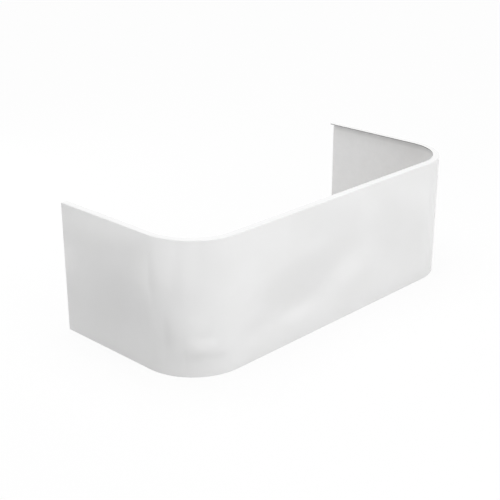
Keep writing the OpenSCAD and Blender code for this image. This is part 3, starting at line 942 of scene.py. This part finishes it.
# %% [markdown]
# ## Glass straps
# Strips of woven glass soaked in resin hold the boards and rails to the backing. A wet strip can't follow a
# sharp corner, so it rounds over the outer corners and leaves a resin fillet in the inner ones, and its cut
# ends fray. The strip's section is drawn with its corners rounded, then extruded across its width in small
# steps, and the cut sides are pushed in and out a little.

# %% Woven glass group
WEAVE = 260.0
weave_group, start, end = make_group("woven strands", {"Strands per metre": WEAVE}, ["Height"])
scaled = add(
    weave_group, "ShaderNodeVectorMath", {"operation": "SCALE"},
    Vector=start["Vector"], Scale=start["Strands per metre"],
).outputs["Vector"]
crossing = add(weave_group, "ShaderNodeTexChecker", Vector=scaled, Scale=1.0).outputs["Fac"]


def strand_height(axis):
    wave = calculate(weave_group, "SINE", times(weave_group, split(weave_group, scaled)[axis], math.pi))
    return calculate(weave_group, "ABSOLUTE", wave)


over = times(weave_group, strand_height("X"), crossing)
under = times(weave_group, strand_height("Y"), calculate(weave_group, "SUBTRACT", 1.0, crossing))
connect(weave_group, end["Height"], plus(weave_group, over, under))
print("weave about", round(1000 / WEAVE, 1), "mm")

# %% Strap finish
strap_finish, tree, shader, place = make_material(
    "resin over woven glass", Base_Color=(0.70, 0.71, 0.62), IOR=1.53, Coat_Roughness=0.12
)
weave = use_group(tree, weave_group, Vector=place["UV"], Strands_per_metre=WEAVE)["Height"]
soak = stretch(tree, noise_value(tree, place["Object"], 38.0, 3.0), 0.36, 0.66)
glass = mix_colours(tree, weave, (0.50, 0.51, 0.42), (0.76, 0.77, 0.70))
glass = mix_colours(tree, times(tree, soak, 0.4), glass, (0.60, 0.58, 0.46))
connect(tree, shader["Coat Weight"], stretch(tree, soak, 0.0, 1.0, 0.1, 0.5))
surface(tree, shader, glass, stretch(tree, soak, 0.0, 1.0, 0.42, 0.24), weave, 0.0003)
print("straps: resin over a weave, glossier where it has soaked in")

# %% One strap
STRAP = 0.0015
STRAP_WIDE = 0.060
STRAP_TAIL = 0.022
STRAP_STEPS = 16
STRAP_END = 0.0011
FRAYED = 0.0012
TRIMMED = 0.0008
ON_FRONT = Matrix.Translation((0.0, FRONT + INNER, 0.0))
ON_RIGHT = Matrix.Translation((HALF_LENGTH - INNER, ARC_Y, 0.0)) @ Matrix.Rotation(math.pi / 2, 4, "Z")
ON_LEFT = Matrix.Scale(-1.0, 4, (1.0, 0.0, 0.0)) @ ON_RIGHT


def across_strap(inwards, up):
    return (-STRAP_WIDE / 2, inwards, up)


def add_strap(bm, corners, middle, onto, seed):
    """Adds one strap whose section is given as (inwards, up, radius, segments)."""
    piece = bmesh.new()
    outline = rounded_outline(piece, corners, across_strap)
    close_ends(piece, outline, drag(piece, outline, (STRAP_WIDE, 0, 0), STRAP_STEPS))
    for vert in piece.verts:
        if abs(vert.co.x) > STRAP_WIDE / 2 - 0.001:
            fray = noise.noise((vert.co.y * 210.0, vert.co.z * 210.0, seed + vert.co.x * 100.0))
            vert.co.x += FRAYED * fray - math.copysign(TRIMMED, vert.co.x)
    wrap_pattern(piece, lambda co: (co.x, co.y + co.z))
    move(piece, middle, 0, 0)
    bmesh.ops.transform(piece, matrix=onto, verts=piece.verts[:])
    face_outwards(piece)
    join(bm, piece)


print("strap", STRAP_WIDE * 1000, "mm wide and", STRAP * 1000, "mm thick")

# %% Straps over the boards
BOARD = 0.012
straps = bmesh.new()
for board in ("top_board", "mid_board"):
    low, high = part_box(board)
    corners = [
        (0.0, high.z + STRAP_TAIL, 0, 0),
        (STRAP, high.z + STRAP_TAIL, STRAP_END, 3),
        (STRAP, high.z + STRAP, 0.004, 6),
        (BOARD + STRAP, high.z + STRAP, 0.0022, 5),
        (BOARD + STRAP, low.z - STRAP, 0.0022, 5),
        (STRAP, low.z - STRAP, 0.004, 6),
        (STRAP, low.z - STRAP_TAIL, STRAP_END, 3),
        (0.0, low.z - STRAP_TAIL, 0, 0),
        (0.0, low.z, 0, 0),
        (BOARD, low.z, 0.0008, 2),
        (BOARD, high.z, 0.0008, 2),
        (0.0, high.z, 0, 0),
    ]
    for number, share in enumerate((-0.9, -0.42, 0.42, 0.9)):
        add_strap(straps, corners, ARC_X * share, ON_FRONT, 5.0 * number + low.z)
finish_piece(straps, "straps_over_boards", "panel", strap_finish, ["board_straps"])

# %% Straps over the rails
rail_low, rail_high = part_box("rail_front")
RAIL_WIDE = rail_high.y - rail_low.y
RAIL_TOP = rail_high.z
STRAP_DROP = 0.024
corners = [
    (0.0, RAIL_TOP + STRAP_TAIL, 0, 0),
    (STRAP, RAIL_TOP + STRAP_TAIL, STRAP_END, 3),
    (STRAP, RAIL_TOP + STRAP, 0.005, 6),
    (RAIL_WIDE + STRAP, RAIL_TOP + STRAP, 0.0026, 6),
    (RAIL_WIDE + STRAP, RAIL_TOP - STRAP_DROP, STRAP_END, 3),
    (RAIL_WIDE, RAIL_TOP - STRAP_DROP, 0, 0),
    (RAIL_WIDE, RAIL_TOP, 0.0012, 3),
    (0.0, RAIL_TOP, 0, 0),
]
rail_straps = bmesh.new()
for number, share in enumerate((-0.93, -0.28, 0.28, 0.93)):
    add_strap(rail_straps, corners, ARC_X * share, ON_FRONT, 40.0 + number)
for number, share in enumerate((0.12, 0.58)):
    for onto in (ON_RIGHT, ON_LEFT):
        add_strap(rail_straps, corners, SIDE * share, onto, 50.0 + number)
finish_piece(rail_straps, "straps_over_rails", "panel", strap_finish, ["rail_straps"])

# %% [markdown]
# ## Brackets
# The brackets are stamped and bent from galvanised sheet. The zinc freezes in crystals a few millimetres
# across that each catch the light differently. Voronoi cells give each crystal its own tone and gloss.

# %% Galvanised steel
crystal_group, start, end = make_group("zinc crystals", {"Crystals per metre": 190.0}, ["Tone", "Edge"])
jagged = wander(crystal_group, start["Vector"], 240.0, 2.0, 0.004)
tone, rim = cells(crystal_group, jagged, start["Crystals per metre"])
connect(crystal_group, end["Tone"], tone["Red"])
connect(crystal_group, end["Edge"], stretch(crystal_group, rim, 0.0, 0.08, 1.0, 0.0))

galvanised, tree, shader, place = make_material(
    "galvanised steel", Base_Color=(0.62, 0.64, 0.66), Metallic=1.0
)
crystals = use_group(tree, crystal_group, Vector=place["Object"], Crystals_per_metre=190.0)
dust = use_group(tree, dust_group, Vector=place["Object"], Grain=1500.0)
steel = mix_colours(tree, crystals["Tone"], (0.54, 0.56, 0.58), (0.72, 0.74, 0.76))
steel = mix_colours(tree, times(tree, crystals["Edge"], 0.5), steel, (0.46, 0.48, 0.50))
steel = lay_dust(tree, dust, 0.5, steel, (0.80, 0.80, 0.78))
gloss = stretch(tree, crystals["Tone"], 0.0, 1.0, 0.44, 0.28)
surface(tree, shader, steel, gloss, crystals["Tone"], 0.00002)
for side in ("left", "right"):
    dress(f"wall_bracket_{side}", galvanised, 0.0003)
    for run in ("front", "side"):
        dress(f"floor_bracket_{run}_{side}", galvanised, 0.0003)

# %% [markdown]
# ## Screws
# A pan-head screw is pressed from wire: a low dome with a cross pressed into it. The cross is made first,
# as the middle rows of a small grid pushed down. The grid's rim is then pulled to a circle and extruded out
# and down in rings, which makes the dome, the underside and the shank from the same edges.

# %% Bright zinc
bright_zinc, tree, shader, place = make_material(
    "bright zinc plate", Base_Color=(0.74, 0.74, 0.72), Metallic=1.0
)
dust = use_group(tree, dust_group, Vector=place["Object"], Grain=2400.0)
plate = noise_value(tree, place["Object"], 300.0, 3.0)
zinc = mix_colours(tree, stretch(tree, plate, 0.3, 0.7), (0.78, 0.78, 0.77), (0.66, 0.67, 0.70))
zinc = lay_dust(tree, dust, 0.4, zinc, (0.55, 0.54, 0.52))
surface(tree, shader, zinc, stretch(tree, plate, 0.3, 0.7, 0.20, 0.34), plate, 0.00001)
print("bright zinc ready")

# %% One pan-head screw
HEAD_R = 0.004
HEAD_H = 0.0026
CELLS = 12
GRID_HALF = HEAD_R * 0.64
CROSS_DEEP = 0.0012
CROWN = 0.72
DOME = [(0.82, 0.97), (0.92, 0.86), (0.98, 0.66), (1.0, 0.4)]


def pressed_crown():
    """A small grid with a cross pushed down in its middle, and its rim pulled to a circle."""
    bm = bmesh.new()
    cell = 2 * GRID_HALF / CELLS
    bmesh.ops.create_grid(bm, x_segments=CELLS, y_segments=CELLS, size=GRID_HALF)
    cross = []
    for face in bm.faces:
        near, far = sorted(abs(face.calc_center_median()[axis]) for axis in (0, 1))
        if near < cell and far < GRID_HALF - cell:
            cross.append(face)
    pressed = bmesh.ops.extrude_face_region(bm, geom=cross)["geom"]
    bmesh.ops.delete(bm, geom=cross, context="FACES_ONLY")
    bottom = only(bmesh.types.BMVert, pressed)
    bmesh.ops.translate(bm, vec=(0, 0, -CROSS_DEEP), verts=bottom)
    bmesh.ops.scale(bm, vec=(0.8, 0.8, 1.0), verts=bottom)
    rim = [
        e for e in bm.edges
        if e.is_boundary and max(abs(e.verts[0].co.x), abs(e.verts[0].co.y)) > GRID_HALF - cell / 4
    ]
    for vert in {v for e in rim for v in e.verts}:
        vert.co = vert.co.normalized() * HEAD_R * CROWN
    return bm, rim


def add_screw(bm, shank, washer, onto):
    """Adds a screw that stands on z = 0 with its head up, then moves it by a matrix."""
    piece, edges = pressed_crown()
    move(piece, 0, 0, HEAD_H + washer)
    rings = [(share, up * HEAD_H + washer) for share, up in DOME]
    rings += [(1.0, 0.0001 + washer), (0.98, washer)]
    if washer:
        rings += [(1.02, washer), (1.34, washer), (1.375, washer * 0.85), (1.375, washer * 0.15), (1.34, 0.0)]
    rings += [(0.5, 0.0), (0.5, -shank * 0.8), (0.08, -shank)]
    radius = CROWN
    for share, height in rings:
        fresh, edges = far_ring(bmesh.ops.extrude_edge_only(piece, edges=edges)["geom"])
        bmesh.ops.scale(piece, vec=(share / radius, share / radius, 1.0), verts=fresh)
        bmesh.ops.translate(piece, vec=(0, 0, height - fresh[0].co.z), verts=fresh)
        radius = share
    close_ends(piece, edges)
    bmesh.ops.transform(piece, matrix=onto, verts=piece.verts[:])
    face_outwards(piece)
    join(bm, piece)


print("screw head", 2 * HEAD_R * 1000, "mm across")

# %% Screws in the rails and in the end blocks
INTO_BAY = Matrix.Rotation(-math.pi / 2, 4, "X")
RAIL_SCREW_UP = 0.0323
SCREW_APART = 0.026
FRONT_BRACKET = 0.56 * ARC_X
SIDE_BRACKET = 0.36 * SIDE
BRACKET_STACK = 0.0031
RAIL_SHANK = 0.024 + BRACKET_STACK
WASHER = 0.001
STEEL = 0.0025
BLOCK_SCREWS_Y = (0.353, 0.329)
BLOCK_SHANK = 0.014 + STEEL
random.seed(4)


def screw_in(bm, onto, place, shank, washer):
    turn = Matrix.Rotation(random.uniform(0, math.pi), 4, "Z")
    add_screw(bm, shank, washer, onto @ Matrix.Translation(place) @ INTO_BAY @ turn)


rail_screws = bmesh.new()
for onto, middle in (
    (ON_FRONT, FRONT_BRACKET), (ON_FRONT, -FRONT_BRACKET), (ON_RIGHT, SIDE_BRACKET), (ON_LEFT, SIDE_BRACKET)
):
    for side in (-1, 1):
        spot = (middle + side * SCREW_APART / 2, RAIL_WIDE + BRACKET_STACK, RAIL_SCREW_UP)
        screw_in(rail_screws, onto, spot, RAIL_SHANK, WASHER)
finish_piece(rail_screws, "screws_in_rails", "panel", bright_zinc, ["floor_bracket_screws"])

block_middle = (block_low.z + block_high.z) / 2
block_screws = bmesh.new()
for onto in (ON_RIGHT, ON_LEFT):
    for y in BLOCK_SCREWS_Y:
        screw_in(block_screws, onto, (y - ARC_Y, PLYWOOD + STEEL, block_middle), BLOCK_SHANK, 0.0)
finish_piece(block_screws, "screws_in_blocks", "panel", bright_zinc, ["wall_bracket_screws"])

# %% [markdown]
# ## Levelling feet
# Each foot is an M8 stud that turns in a tee nut under the rail and stands in a plastic pad. A thread is
# one ridge wound round a core, so it is made that way: the ridge's small section is spun up the stud with a
# rise of one pitch a turn, and it fades out at both ends, as a rolled thread does. All four threads are
# right-handed, so the feet aren't mirrored.

# %% Nuts
dress("tee_nuts", bright_zinc, 0.00025)
dress("lock_nuts", bright_zinc, 0.00012, sharper_than=50.0)

# %% Turned shapes
def beside_axis(across, up):
    return (across, 0.0, up)


def turned_shape(corners):
    """Spins an outline that touches the Z axis a full turn, and merges what meets on the axis."""
    bm = bmesh.new()
    outline = rounded_outline(bm, corners, beside_axis)
    on_axis = [e for e in outline if all(abs(v.co.x) < 1e-7 for v in e.verts)]
    bmesh.ops.delete(bm, geom=on_axis, context="EDGES")
    bmesh.ops.spin(
        bm, geom=bm.verts[:] + bm.edges[:], cent=(0, 0, 0), axis=(0, 0, 1), angle=math.tau,
        steps=40, use_merge=True,
    )
    bmesh.ops.remove_doubles(bm, verts=bm.verts[:], dist=1e-6)
    face_outwards(bm)
    return bm


print("turning helpers ready")

# %% The stud's spanner collar
COLLAR_LOW = 0.0083
COLLAR_HIGH = 0.0133
ACROSS_CORNERS = 0.013 / math.cos(math.radians(30.0))
TURNED_R = 0.0061
CUTS_PER_CORNER = 5


def spanner_collar():
    """A hexagon whose corners are turned off at both ends, as on a nut."""
    collar = bmesh.new()
    bmesh.ops.create_circle(collar, cap_ends=True, segments=6, radius=ACROSS_CORNERS / 2)
    raised = bmesh.ops.extrude_face_region(collar, geom=collar.faces[:])["geom"]
    thick = (0, 0, COLLAR_HIGH - COLLAR_LOW)
    bmesh.ops.translate(collar, vec=thick, verts=only(bmesh.types.BMVert, raised))
    move(collar, 0, 0, COLLAR_LOW)
    face_outwards(collar)
    for step in range(6 * CUTS_PER_CORNER):
        corner, cut = divmod(step, CUTS_PER_CORNER)
        angle = math.radians(60.0 * corner + 8.0 * (cut - CUTS_PER_CORNER // 2))
        outwards = Vector((math.cos(angle), math.sin(angle), 0.0))
        for level, way in ((COLLAR_HIGH, 1.0), (COLLAR_LOW, -1.0)):
            cut_edges = bmesh.ops.bisect_plane(
                collar, geom=collar.verts[:] + collar.edges[:] + collar.faces[:], dist=1e-7,
                plane_co=outwards * TURNED_R + Vector((0, 0, level)),
                plane_no=outwards * 0.5 + Vector((0, 0, way * 0.866)), clear_outer=True,
            )["geom_cut"]
            close_ends(collar, only(bmesh.types.BMEdge, cut_edges))
    face_outwards(collar)
    return collar


print("collar", round(ACROSS_CORNERS * 1000, 1), "mm across its corners")

# %% The stud's thread
PITCH = 0.00125
THREAD_STEPS = 24
ROOT_R = 0.00325
CREST_R = 0.00398
RIDGE_ROOT = 0.00056
RIDGE_CREST = 0.00010
SUNK = 0.0001
RUN_OUT = 0.0006
RUN_OVER = 0.0002


def thread(first, last):
    """One ridge, wound upwards in whole turns from the first height to no further than the last."""
    ridge = bmesh.new()
    turns = int((last - first) / PITCH)
    outline = rounded_outline(
        ridge,
        [
            (ROOT_R - SUNK, first - RIDGE_ROOT, 0, 0), (CREST_R, first - RIDGE_CREST, 0, 0),
            (CREST_R, first + RIDGE_CREST, 0, 0), (ROOT_R - SUNK, first + RIDGE_ROOT, 0, 0),
        ],
        beside_axis,
    )
    wound = bmesh.ops.spin(
        ridge, geom=ridge.verts[:] + ridge.edges[:], cent=(0, 0, 0), axis=(0, 0, 1),
        dvec=(0, 0, PITCH / THREAD_STEPS), angle=math.tau * turns, steps=THREAD_STEPS * turns,
    )["geom_last"]
    close_ends(ridge, outline, only(bmesh.types.BMEdge, wound))
    low, high = first - RUN_OVER, first + turns * PITCH + RUN_OVER
    for vert in ridge.verts:
        radius = math.hypot(vert.co.x, vert.co.y)
        if radius > ROOT_R:
            fade = max(0.0, min(1.0, (vert.co.z - low) / RUN_OUT, (high - vert.co.z) / RUN_OUT))
            share = (ROOT_R + (radius - ROOT_R) * fade) / radius
            vert.co.x *= share
            vert.co.y *= share
    face_outwards(ridge)
    return ridge


print("thread pitch", PITCH * 1000, "mm")

# %% Studs
STUD_R = 0.0040
TOP_R = 0.0026
FEET = ("front_left", "front_right", "side_left", "side_right")


def put_on_foot(bm, low, high):
    """Moves a piece that was made on the Z axis to the middle of a box."""
    middle = (low + high) / 2
    move(bm, middle.x, middle.y, 0)


for foot in FEET:
    low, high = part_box(f"foot_stud_{foot}")
    stud = turned_shape([
        (0.0, low.z, 0, 0), (STUD_R, low.z, 0.0006, 3), (STUD_R, COLLAR_HIGH + 0.0004, 0.0002, 2),
        (ROOT_R, COLLAR_HIGH + 0.0012, 0.0002, 2), (ROOT_R, high.z - 0.0006, 0.0002, 2),
        (TOP_R, high.z, 0.0001, 2), (0.0, high.z, 0, 0),
    ])
    join(stud, thread(COLLAR_HIGH + 0.0020, high.z - 0.0014))
    join(stud, spanner_collar())
    put_on_foot(stud, low, high)
    finish_piece(
        stud, f"threaded_stud_{foot}", f"stud_{foot}", bright_zinc, [f"foot_stud_{foot}"]
    )

# %% [markdown]
# The pads are moulded in black nylon. A moulding has no sharp corner, a matt spark-eroded grain, and a rim
# that is scuffed paler where it has rubbed on the floor.

# %% Moulded plastic
PAD_RIM = 0.0025
plastic, tree, shader, place = make_material("moulded black nylon", Base_Color=(0.03, 0.03, 0.032), IOR=1.5)
pebble = noise_value(tree, place["Object"], 2600.0, 2.0)
dust = use_group(tree, dust_group, Vector=place["Object"], Grain=1800.0)
low_down = stretch(tree, split(tree, place["Object"])["Z"], 0.0, PAD_RIM, 1.0, 0.0)
scuff = times(tree, low_down, stretch(tree, pebble, 0.45, 0.65))
black = mix_colours(tree, dust["Cloud"], (0.028, 0.028, 0.030), (0.042, 0.042, 0.043))
black = mix_colours(tree, times(tree, scuff, 0.5), black, (0.16, 0.16, 0.155))
surface(tree, shader, black, stretch(tree, pebble, 0.3, 0.7, 0.42, 0.58), pebble, 0.00008)
print("pads: pebbled, scuffed at the rim")

# %% Pads
PAD_TOP = 0.0040
CUP_R = 0.0090
CUP_TOP = 0.0080
BORE_R = 0.00405
BORE_FLOOR = 0.0030
for foot in FEET:
    low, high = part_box(f"foot_pad_{foot}")
    radius = (high.x - low.x) / 2
    pad = turned_shape([
        (0.0, 0.0, 0, 0), (radius, 0.0, 0.0006, 3), (radius, PAD_RIM, 0.0006, 3),
        (radius - 0.0015, PAD_TOP, 0.0006, 3), (CUP_R, PAD_TOP, 0.0008, 4), (CUP_R, CUP_TOP, 0.0006, 4),
        (BORE_R, CUP_TOP, 0.0003, 3), (BORE_R, BORE_FLOOR, 0, 0), (0.0, BORE_FLOOR, 0, 0),
    ])
    put_on_foot(pad, low, high)
    finish_piece(pad, f"moulded_pad_{foot}", f"pad_{foot}", plastic, [f"foot_pad_{foot}"])

# %% [markdown]
# ## Resin beads
# The formers are bedded in thickened resin that squeezes out in a bead above and below. Each bead is a
# small rounded section swept along the joint, with its size wandering a little as a hand-run bead does.

# %% Resin bead finish
bead_finish, tree, shader, place = make_material("thickened resin", Base_Color=(0.66, 0.65, 0.58), IOR=1.53)
dust = use_group(tree, dust_group, Vector=place["Object"], Grain=900.0)
lumps = noise_value(tree, place["Object"], 180.0, 2.0)
resin = mix_colours(tree, lumps, (0.70, 0.69, 0.62), (0.58, 0.56, 0.48))
surface(tree, shader, resin, stretch(tree, dust["Cloud"], 0.0, 1.0, 0.28, 0.45), lumps, 0.0004)
print("beads: lumpy resin")

# %% Beads round the formers
BEAD = 0.0045
BEAD_WAIST = 0.55
BEAD_VARIES = 0.35
BEAD_STEPS = 48
beads = bmesh.new()
for side in (1, -1):
    for level, way in ((former_high.z, 1), (former_low.z, -1)):
        bead = sweep_corner(
            [
                (FORMER_OUT, level, 0, 0), (FORMER_OUT, level + way * BEAD, 0.0005, 2),
                (FORMER_OUT - BEAD * BEAD_WAIST, level + way * BEAD * BEAD_WAIST, 0.001, 4),
                (FORMER_OUT - BEAD, level, 0.0005, 2),
            ],
            BEAD_STEPS,
        )
        for vert in bead.verts:
            varies = BEAD_VARIES * noise.noise((vert.co.x * 70.0, vert.co.y * 70.0, side * 9.0 + way))
            out = Vector((vert.co.x - ARC_X, vert.co.y - ARC_Y, 0.0))
            depth = FORMER_OUT - out.length
            vert.co -= out.normalized() * depth * varies
            vert.co.z += (vert.co.z - level) * varies
        put_on_side(bead, side)
        join(beads, bead)
finish_piece(beads, "resin_beads", "panel", bead_finish)

# %% [markdown]
# Standard keeps a colour as it was written. The visual model has to stay in the box of the imported model.

# %% Finish
bpy.context.scene.view_settings.view_transform = "Standard"
